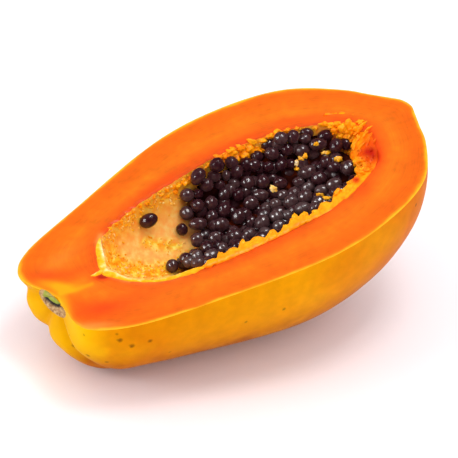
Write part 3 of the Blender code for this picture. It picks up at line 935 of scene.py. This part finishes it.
# %% Grains of pulp
GRAINS = 520
GRAIN_SIZES = (0.0003, 0.0006)
grains = []
while len(grains) < GRAINS:
    share = draw.uniform(0.13, 0.84)
    turn = draw.uniform(2, 110)
    half_there = float(np.interp(share, *hollow.T))
    place = body_tree.find_nearest(wall_point((share, half_there), turn))[0]
    under_seeds = heap_start(turn) + 0.02 < share < HEAP_END and turn > 9
    if under_seeds or draw.random() > rough_wall(place, share, turn) - 0.3:
        continue
    size = draw.uniform(*GRAIN_SIZES)
    value = (0.5 + 0.45 * draw.random(),)
    grains.append((value, (place, any_turn(), (size, size * 1.5, size * 0.6), 0.4, 1, 1.5)))
gather(pulp_lumps, chunks + grains, ("paleness",))
ripeness = pulp_lumps.verts.layers.float.new("ripeness")
for vertex in pulp_lumps.verts:
    px, py = picture(vertex.co)
    vertex[ripeness] = spot_weight(px, py, RIPE_SPOTS) if px > 330 else 0
pulp = finish_piece(pulp_lumps, "torn_pulp")
print(len(grains), "grains; pulp:", len(pulp.data.polygons), "faces")

# %% [markdown]
# ## Stem scar
# At the stem end the stalk broke off and left a corky tan oval with a green remnant and a dark
# crack. A fine grid is laid over the skin there, dropped onto it along the lines of sight, and
# raised or sunk by what each part of it is. Its edge dips under the skin, so it closes on it.

# %% Stem scar
SCAR_MIDDLE, SCAR_LONG, SCAR_WIDE, SCAR_LEAN = (52.5, 303.5), 20, 6.3, -47
GREEN_LINE = ((46, 293), (52, 297.5), (57, 301), (60, 303))
CRACK_LINE = ((47, 297.5), (53, 302), (58, 305), (64.5, 305.5))
CORK_RISE, GREEN_RISE, CRACK_DROP, EDGE_DROP = 0.0008, 0.0006, 0.0009, 0.0005
CORK_GRAIN = ((0.00025, 0.0012), (0.00015, 0.0005))
scar_sheet = bmesh.new()
bmesh.ops.create_grid(scar_sheet, x_segments=64, y_segments=28, size=1)
green_layer = scar_sheet.verts.layers.float.new("green")
crack_layer = scar_sheet.verts.layers.float.new("crack")
c, s = math.cos(math.radians(SCAR_LEAN)), math.sin(math.radians(SCAR_LEAN))
for vertex in scar_sheet.verts:
    # the square grid becomes a disc
    u, v = vertex.co.x, vertex.co.y
    u, v = u * math.sqrt(1 - v * v / 2), v * math.sqrt(1 - u * u / 2)
    out = math.hypot(u, v)
    px = SCAR_MIDDLE[0] + SCAR_LONG * u * c - SCAR_WIDE * v * s
    py = SCAR_MIDDLE[1] - SCAR_LONG * u * s - SCAR_WIDE * v * c
    place, normal, _, _ = body_tree.ray_cast(EYE, sight(px, py))
    crack = line_weight(px, py, CRACK_LINE, 1.5)
    green = line_weight(px, py, GREEN_LINE, 1.9)
    height = CORK_RISE + GREEN_RISE * green - CRACK_DROP * crack + swell(place, CORK_GRAIN)
    vertex.co = place + normal * (max(height, 0.0001) * (1 - out**6) - EDGE_DROP * out**8)
    vertex[green_layer], vertex[crack_layer] = green, min(1.5 * crack, 1)
scar = finish_piece(scar_sheet, "stem_scar")
print("the scar is", [round(1000 * v, 1) for v in scar.dimensions], "mm")

# %% [markdown]
# ## Colours and nodes
# Colours are written as the hex values one reads off a screen. Blender mixes light in linear
# numbers, so one function turns hex to linear. Another adds a node, sets it up, links it and hands
# back its output, so each line of a material is one node. A noise node counts lumps to the metre,
# and a third function works that out from their real size. In a map range, inputs 1 and 2 are the
# values it starts from, and 3 and 4 those that it turns them into.

# %% Helpers for materials
HELD_BACK = 0.86


def linear(hex_colour, held=HELD_BACK):
    """The studio light is a little above 1, to turn the table white, so colours are held back."""
    channels = [int(hex_colour[i : i + 2], 16) / 255 for i in (1, 3, 5)]
    return (*(held * (c / 12.92 if c <= 0.04045 else ((c + 0.055) / 1.055) ** 2.4) for c in channels), 1.0)


def lumps_of(millimetres):
    return 1000 / millimetres


def plug(tree, node, inputs):
    """Links each input to another node's output, or sets it to a value."""
    for name, value in inputs.items():
        if isinstance(value, bpy.types.NodeSocket):
            tree.links.new(value, node.inputs[name])
        else:
            node.inputs[name].default_value = value


def add(tree, kind, inputs=None, stops=(), held=HELD_BACK, out=0, **settings):
    """Adds a node and gives its output. Stops, each a position and a colour, fill a colour ramp."""
    node = tree.nodes.new("ShaderNode" + kind)
    for name, value in settings.items():
        setattr(node, name, value)
    for _ in stops[2:]:
        node.color_ramp.elements.new(0.5)
    for i, (position, colour) in enumerate(stops):
        node.color_ramp.elements[i].position = position
        node.color_ramp.elements[i].color = linear(colour, held)
    plug(tree, node, inputs or {})
    return node.outputs[out]


def new_material(name):
    """Gives the material, its tree, its shader, and where on the object a point is."""
    material = bpy.data.materials.new(name)
    material.use_nodes = True
    tree = material.node_tree
    return material, tree, tree.nodes["Principled BSDF"], add(tree, "TexCoord", out="Object")


def tinted(tree, colour, tints):
    """Lays tints over a colour: how much of each, its hex value, and the most that there may be."""
    for weight, tint, most in tints:
        amount = add(tree, "Math", {0: weight, 1: most}, operation="MINIMUM")
        colour = add(tree, "Mix", {0: amount, 6: colour, 7: linear(tint)}, data_type="RGBA", out=2)
    return colour


print("half grey, #808080, is", round(linear("#808080", held=1)[0], 3), "in linear light")

# %% [markdown]
# ## Flesh
# Ripe papaya flesh is wet, slightly see-through tissue. Cut across it shows bands: a yellow line
# under the skin, then red-orange, lighter orange, and a deeper line at the hollow. The band value
# runs the colours, and clouds of ripeness bend and shade them. Fine fibres run along the fruit, and
# the cut cells between them make a faint speckle. Light scatters a few millimetres under the
# surface.

# %% Flesh material
flesh, tree, shader, where = new_material("ripe_papaya_flesh")
note = {
    name: add(tree, "Attribute", attribute_name=name, out="Fac")
    for name in ("along", "band", "gold", "red", "pale")
}
clouds = add(tree, "TexNoise", {"Vector": where, "Scale": lumps_of(11.8), "Detail": 3.0})
bend = add(tree, "Math", {0: clouds, 1: 0.5}, operation="SUBTRACT")
bent = add(tree, "Math", {0: bend, 1: 0.14, 2: note["band"]}, operation="MULTIPLY_ADD")
bands = add(
    tree, "ValToRGB", {"Fac": bent},
    stops=((0.0, "#FFC020"), (0.03, "#FFA010"), (0.06, "#F67404"), (0.12, "#F26600"), (0.30, "#F46A02"),
           (0.6, "#F67608"), (0.85, "#F06406"), (0.95, "#E85404"), (1.0, "#DE4802")),
)
# fibres are 12.5 mm long and 0.6 mm apart, on a cut face that is about 33 mm wide
FIBRE_LONG, FIBRE_APART, FACE_WIDTH = 0.0125, 0.0006, 0.033
FIBRE_SCALE = (FRUIT_LENGTH / FIBRE_LONG, FACE_WIDTH / FIBRE_APART, 1.0)
combed = add(tree, "CombineXYZ", {"X": note["along"], "Y": note["band"]})
combed = add(tree, "Mapping", {"Vector": combed, "Scale": FIBRE_SCALE})
fibres = add(tree, "TexNoise", {"Vector": combed, "Scale": 1.0, "Detail": 2.0})
speckle = add(tree, "TexNoise", {"Vector": where, "Scale": lumps_of(3.03), "Detail": 5.0})
fibre_shade = add(tree, "MapRange", {0: fibres, 1: 0.35, 2: 0.7, 3: 0.91, 4: 1.09})
speckle_shade = add(tree, "MapRange", {0: speckle, 1: 0.3, 2: 0.7, 3: 0.91, 4: 1.09})
cloud_shade = add(tree, "MapRange", {0: clouds, 1: 0.3, 2: 0.7, 3: 0.90, 4: 1.10})
shade = add(tree, "Math", {0: fibre_shade, 1: speckle_shade}, operation="MULTIPLY")
shade = add(tree, "Math", {0: shade, 1: cloud_shade}, operation="MULTIPLY")
colour = add(tree, "Mix", {0: 1.0, 6: bands, 7: shade}, data_type="RGBA", blend_type="MULTIPLY", out=2)
# where the red notes pass 0.7 the flesh turns a deeper red: the ripest flesh, and painted shade in the
# pockets there
deeper = add(tree, "MapRange", {0: note["red"], 1: 0.7, 2: 1.5})
colour = tinted(tree, colour, (
    (note["red"], "#EC3E04", 0.9), (deeper, "#B01A06", 0.9), (note["gold"], "#FCA800", 0.95),
    (note["pale"], "#FFA044", 1.0),
))
cells = add(tree, "TexNoise", {"Vector": where, "Scale": lumps_of(1.11), "Detail": 3.0})
relief = add(tree, "Math", {0: fibres, 1: 0.6, 2: cells}, operation="MULTIPLY_ADD")
bump = add(tree, "Bump", {"Height": relief, "Strength": 0.15, "Distance": 0.0003})
plug(tree, shader, {
    "Base Color": colour, "Normal": bump, "Roughness": 0.40, "IOR": 1.36, "Specular IOR Level": 0.12,
    "Subsurface Weight": 0.25, "Subsurface Radius": (1.0, 0.35, 0.12), "Subsurface Scale": 0.0025,
})
print("flesh:", len(tree.nodes), "nodes")

# %% [markdown]
# ## Skin
# A ripe skin is a thin wax over yellow-orange rind. From afar it is nearly even, with slow drifts of
# some centimetres from golden to orange, and blotches of a few millimetres. Lower down it is painted a
# mottled dark ochre as painted shade towards the table. It stays yellow in the folds at the stem, and
# is pitted by pores, drawn here at 0.7 mm because finer ones wouldn't show.

# %% Skin material
skin, tree, shader, where = new_material("waxy_papaya_skin")
turn_note = add(tree, "Attribute", attribute_name="turn", out="Fac")
along_note = add(tree, "Attribute", attribute_name="along", out="Fac")
drift = add(tree, "TexNoise", {"Vector": where, "Scale": lumps_of(33.3), "Detail": 4.0})
drift = add(tree, "Math", {0: drift, 1: 0.5}, operation="MULTIPLY")
ripe = add(tree, "Math", {0: along_note, 1: drift}, operation="ADD")
base = add(
    tree, "ValToRGB", {"Fac": ripe},
    stops=((0.19, "#FFC200"), (0.27, "#F09A00"), (0.34, "#EA8A00"), (0.55, "#F69E00"), (0.72, "#FCA600"),
           (0.92, "#F08C00"), (1.0, "#EC7C00")),
)
blotches = add(tree, "TexNoise", {"Vector": where, "Scale": lumps_of(4.55), "Detail": 5.0})
blotches = add(tree, "MapRange", {0: blotches, 1: 0.3, 2: 0.7, 3: 0.92, 4: 1.05})
base = add(tree, "Mix", {0: 1.0, 6: base, 7: blotches}, data_type="RGBA", blend_type="MULTIPLY", out=2)
# painted shade: the skin turns a mottled dark ochre towards the underside
lower = add(tree, "MapRange", {0: turn_note, 1: 0.89, 2: 0.75, 4: 1.5})
mottle = add(tree, "TexNoise", {"Vector": where, "Scale": lumps_of(7.14), "Detail": 5.0})
painted_underside_shade = add(tree, "Math", {0: lower, 1: mottle}, operation="MULTIPLY")
at_stem = add(tree, "MapRange", {0: along_note, 1: 0.02, 2: -0.02, 4: 0.7})
base = tinted(tree, base, ((painted_underside_shade, "#B86000", 1.0), (at_stem, "#FFC400", 1.0)))
print("skin so far:", len(tree.nodes), "nodes")

# %% [markdown]
# The skin has a few brown specks where it was bruised, and the last three make a brown line down the
# groove under the stem scar. Each is a spot round a point of the skin, given by its pixel and its half
# width in pixels. Noise added to the distance makes it ragged, and it fades over about three pixels.

# %% Specks, and the skin's gloss
SPECKS = (
    (120, 340, 2.2), (132, 346, 2.4), (150, 341, 1.6), (74, 346, 2.0), (88, 355.5, 1.6), (106.5, 362, 1.4),
    (284, 309, 1.4), (84, 335, 0.6), (117, 334, 0.6), (246, 322, 0.8), (170, 352, 1.0), (416, 205, 1.2),
    # the last three darken a line down the groove under the stem scar
    (66, 326, 0.4), (69.5, 335, 0.5), (73, 346, 1.4),
)
ragged = add(tree, "TexNoise", {"Vector": where, "Scale": lumps_of(1.43), "Detail": 2.0})
ragged = add(tree, "Math", {0: ragged, 1: 0.0012}, operation="MULTIPLY")
specks = 0.0
for px, py, size in SPECKS:
    middle = lie_down @ body_tree.ray_cast(EYE, sight(px, py))[0]
    away = add(tree, "VectorMath", {0: where, 1: middle}, operation="DISTANCE", out="Value")
    away = add(tree, "Math", {0: away, 1: ragged}, operation="ADD")
    speck = add(tree, "MapRange", {0: away, 1: (size + 3) * PIXEL, 2: (size + 0.3) * PIXEL})
    specks = add(tree, "Math", {0: specks, 1: speck}, operation="MAXIMUM")
specks = add(tree, "Math", {0: specks, 1: 0.75}, operation="MULTIPLY")
base = tinted(tree, base, ((specks, "#5A3206", 1.0),))
pores = add(tree, "TexNoise", {"Vector": where, "Scale": lumps_of(0.714), "Detail": 2.0})
bump = add(tree, "Bump", {"Height": pores, "Strength": 0.12, "Distance": 0.0002})
plug(tree, shader, {
    "Base Color": base, "Normal": bump, "Roughness": 0.38, "Specular IOR Level": 0.015,
    "Subsurface Weight": 0.1, "Subsurface Radius": (1.0, 0.5, 0.1), "Subsurface Scale": 0.001,
})
print("skin:", len(tree.nodes), "nodes")

# %% [markdown]
# ## Lining of the hollow
# The wall of the hollow is a soft tan-orange membrane, with rough golden strips where seeds grew,
# orange at the blossom end, and stained red-brown by the seeds' gel where the heap lies. Along its
# upper edge, where it lies in shade under the far rim, it is painted lighter as painted light, and the
# stain also darkens it as painted shade under the seeds.

# %% Lining material
lining, tree, shader, where = new_material("hollow_lining")
note = {
    name: add(tree, "Attribute", attribute_name=name, out="Fac")
    for name in ("along", "turn", "red", "pale", "gel_stain_and_shade", "grain")
}
clumps = add(tree, "TexNoise", {"Vector": where, "Scale": lumps_of(2.38), "Detail": 4.0})
# painted light: the tan and golden colours are not held back, so the wall is painted lighter than the shade
# of the hollow leaves it
smooth_tan = add(tree, "ValToRGB", {"Fac": clumps}, stops=((0.3, "#FFB460"), (0.7, "#FFC47C")), held=1)
golden = add(
    tree, "ValToRGB", {"Fac": clumps},
    stops=((0.34, "#FF9010"), (0.46, "#FFB020"), (0.54, "#FFC82C"), (0.64, "#FFE468")), held=1,
)
colour = add(tree, "Mix", {0: note["grain"], 6: smooth_tan, 7: golden}, data_type="RGBA", out=2)
ripe_end = add(tree, "MapRange", {0: note["along"], 1: 0.79, 2: 0.84})
# painted light: under the far rim the wall lies in shade, so it is painted a lighter orange there
painted_light_far_rim = add(tree, "MapRange", {0: note["turn"], 1: 0.20, 2: 0.04})
# deeper red where the red notes pass 0.7: the wall's own colour, and painted shade in the pockets
deeper = add(tree, "MapRange", {0: note["red"], 1: 0.7, 2: 1.5})
# the stain darkens the wall under the heap: the gel's own red-brown, and painted shade under the seeds
colour = tinted(tree, colour, (
    (painted_light_far_rim, "#FFA038", 0.6), (note["pale"], "#FFE0A0", 0.8), (ripe_end, "#F06C0C", 0.9),
    (note["gel_stain_and_shade"], "#6A1E0A", 0.92), (note["red"], "#E84206", 0.85), (deeper, "#B01A06", 0.9),
))
grit = add(tree, "TexNoise", {"Vector": where, "Scale": lumps_of(0.909), "Detail": 2.0})
bump = add(tree, "Bump", {"Height": grit, "Strength": 0.2, "Distance": 0.0003})
plug(tree, shader, {
    "Base Color": colour, "Normal": bump, "Roughness": 0.45, "Specular IOR Level": 0.02,
    "Subsurface Weight": 0.3, "Subsurface Radius": (1.0, 0.45, 0.15), "Subsurface Scale": 0.0025,
})
for material in (skin, flesh, lining):
    half.data.materials.append(material)
print("materials on the half:", [slot.name for slot in half.data.materials])

# %% [markdown]
# ## Seed skins
# The seed coat is black-brown with a violet cast, under a clear wrinkled gel that keeps sharp
# highlights. The wrinkles are about 1.4 mm apart. Seeds that have dried are browner and duller.

# %% Seed material
seed_coat, tree, shader, where = new_material("wet_papaya_seed")
brown_note = add(tree, "Attribute", attribute_name="brown", out="Fac")
dull_note = add(tree, "Attribute", attribute_name="dull", out="Fac")
wrinkles = add(tree, "TexNoise", {"Vector": where, "Scale": lumps_of(1.43), "Detail": 2.0})
tint = add(tree, "Math", {0: wrinkles, 1: 0.9, 2: brown_note}, operation="MULTIPLY_ADD")
coat = add(
    tree, "ValToRGB", {"Fac": tint},
    stops=((0.2, "#26080F"), (0.5, "#35131B"), (0.8, "#44262A"), (1.0, "#523A3B")),
)
dullness = add(tree, "MapRange", {0: dull_note, 3: 0.14, 4: 0.32})
bump = add(tree, "Bump", {"Height": wrinkles, "Strength": 0.45, "Distance": 0.0006})
plug(tree, shader, {"Base Color": coat, "Normal": bump, "Roughness": dullness, "IOR": 1.42})
seeds.data.materials.append(seed_coat)
print("seed coat:", len(tree.nodes), "nodes")

# %% [markdown]
# The pulp under the seeds is nearly black in their shade, with red-brown blots of about 5 mm. It
# has no gloss of its own, or it would outshine the seeds.

# %% Seed bed material
dark_pulp, tree, shader, where = new_material("dark_seed_pulp")
blots = add(tree, "TexNoise", {"Vector": where, "Scale": lumps_of(5), "Detail": 3.0})
dark = add(tree, "ValToRGB", {"Fac": blots}, stops=((0.35, "#180505"), (0.55, "#2E0E09"), (0.7, "#6E260E")))
plug(tree, shader, {"Base Color": dark, "Roughness": 0.6, "Specular IOR Level": 0.0})
seed_bed.data.materials.append(dark_pulp)
print("seed bed:", len(tree.nodes), "nodes")

# %% [markdown]
# ## Torn pulp
# The pulp is the same tissue as the flesh, torn and wet. Its cells, 2 mm across, vary from orange to
# pale gold, paler at the tips, and it turns red at the ripe end. Little light scatters in it, since
# a grain is smaller than the distance that light travels in the flesh.

# %% Pulp material
pulp_flesh, tree, shader, where = new_material("torn_papaya_pulp")
pale_note = add(tree, "Attribute", attribute_name="paleness", out="Fac")
ripe_note = add(tree, "Attribute", attribute_name="ripeness", out="Fac")
cells = add(tree, "TexNoise", {"Vector": where, "Scale": lumps_of(2), "Detail": 3.0})
lighter = add(tree, "Math", {0: pale_note, 1: 0.65, 2: -0.25}, operation="MULTIPLY_ADD")
tint = add(tree, "Math", {0: cells, 1: 0.8, 2: lighter}, operation="MULTIPLY_ADD")
colour = add(
    tree, "ValToRGB", {"Fac": tint},
    stops=((0.1, "#FF7C04"), (0.38, "#FF9C0C"), (0.62, "#FFB41C"), (0.82, "#FFD480"), (1.0, "#FFE8C0")),
    held=1,
)
# deeper red at the torn end: partly the pulp's own colour, partly painted shade where it hangs in the pocket
deeper = add(tree, "MapRange", {0: ripe_note, 1: 0.9, 2: 1.8})
colour = tinted(tree, colour, ((ripe_note, "#F05008", 0.9), (deeper, "#C42008", 1.0)))
bump = add(tree, "Bump", {"Height": cells, "Strength": 0.3, "Distance": 0.0005})
plug(tree, shader, {
    "Base Color": colour, "Normal": bump, "Roughness": 0.36, "Specular IOR Level": 0.04,
    "Subsurface Weight": 0.1, "Subsurface Radius": (1.0, 0.5, 0.15), "Subsurface Scale": 0.0006,
})
pulp.data.materials.append(pulp_flesh)
print("pulp:", len(tree.nodes), "nodes")

# %% [markdown]
# ## Cork
# The scar is dry cork: tan, rough and with little gloss. Its grain is about a millimetre. The green
# remnant and the dark crack come from the values on its vertices.

# %% Scar material
cork, tree, shader, where = new_material("corky_stem_scar")
green_note = add(tree, "Attribute", attribute_name="green", out="Fac")
crack_note = add(tree, "Attribute", attribute_name="crack", out="Fac")
grain = add(tree, "TexNoise", {"Vector": where, "Scale": lumps_of(1.11), "Detail": 4.0})
tan = add(tree, "ValToRGB", {"Fac": grain}, stops=((0.3, "#7C5430"), (0.5, "#B88C58"), (0.7, "#DCBC84")))
colour = tinted(tree, tan, ((green_note, "#98A82C", 1.0), (crack_note, "#241408", 1.0)))
bump = add(tree, "Bump", {"Height": grain, "Strength": 0.6, "Distance": 0.0004})
plug(tree, shader, {"Base Color": colour, "Normal": bump, "Roughness": 0.75, "Specular IOR Level": 0.2})
scar.data.materials.append(cork)
print("cork:", len(tree.nodes), "nodes")

# %% [markdown]
# ## Floor
# The half lies on a plain white glossy table. It is the stage, not part of the object.

# %% Floor
FLOOR_REACH = 6
ground = bmesh.new()
bmesh.ops.create_grid(ground, x_segments=1, y_segments=1, size=FLOOR_REACH)
table = bpy.data.meshes.new("floor")
ground.to_mesh(table)
ground.free()
floor = bpy.data.objects.new("floor", table)
bpy.context.scene.collection.objects.link(floor)
white_table, tree, shader, _ = new_material("white_table")
plug(tree, shader, {"Base Color": linear("#FCF7FB", held=1), "Roughness": 0.22, "Specular IOR Level": 0.25})
table.materials.append(white_table)
print("the floor is", 2 * FLOOR_REACH, "m wide")

# %% [markdown]
# ## Light
# A bright even surround fills the shadows, and two weak soft lamps, one overhead and one on the stem
# side, give them a direction. The photograph's seeds each carry a pair of sharp highlights. They
# come from two more lamps in the same places, which show in reflections and light nothing else.

# %% Light
world = bpy.data.worlds.new("studio")
bpy.context.scene.world = world
world.use_nodes = True
surround = world.node_tree.nodes["Background"]
plug(world.node_tree, surround, {"Color": linear("#FFFCFC", held=1), "Strength": 1.12})
world.cycles_visibility.glossy = False


def soft_box(name, place, size, watts, glint=False):
    """A square lamp that faces the fruit, for light or for glints."""
    light = bpy.data.lights.new(name, "AREA")
    light.size = size
    light.energy = watts
    lamp = bpy.data.objects.new(name, light)
    lamp.location = place
    lamp.rotation_euler = Vector(place).to_track_quat("Z", "Y").to_euler()
    lamp.visible_diffuse = not glint
    lamp.visible_glossy = glint
    bpy.context.scene.collection.objects.link(lamp)


# directions in the fruit's own frame, one metre away
turned = lie_down.to_3x3()
OVERHEAD, STEM_SIDE = turned @ Vector((0.267, -0.203, 0.937)), turned @ Vector((-0.755, 0.188, 0.621))
soft_box("overhead", OVERHEAD, 0.3, 2.2)
soft_box("stem_side", STEM_SIDE, 0.3, 2.0)
soft_box("overhead_glint", OVERHEAD, 0.26, 22, glint=True)
soft_box("stem_side_glint", STEM_SIDE, 0.26, 22, glint=True)
bpy.context.scene.view_settings.view_transform = "Standard"
print("lamps:", [data.name for data in bpy.data.lights])

# %% [markdown]
# ## Riding on the body
# Every piece rides on the one body there is, and the plain solids that the pieces stand for are
# hidden.

# %% Ride, and hide the plain solids
for piece, slot in ((half, "flesh"), (seeds, "seeds"), (seed_bed, "seeds"), (pulp, "flesh"), (scar, "flesh")):
    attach(piece, "root")
for piece in (half, pulp, scar):
    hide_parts("flesh")
for piece in (seeds, seed_bed):
    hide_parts("seeds")
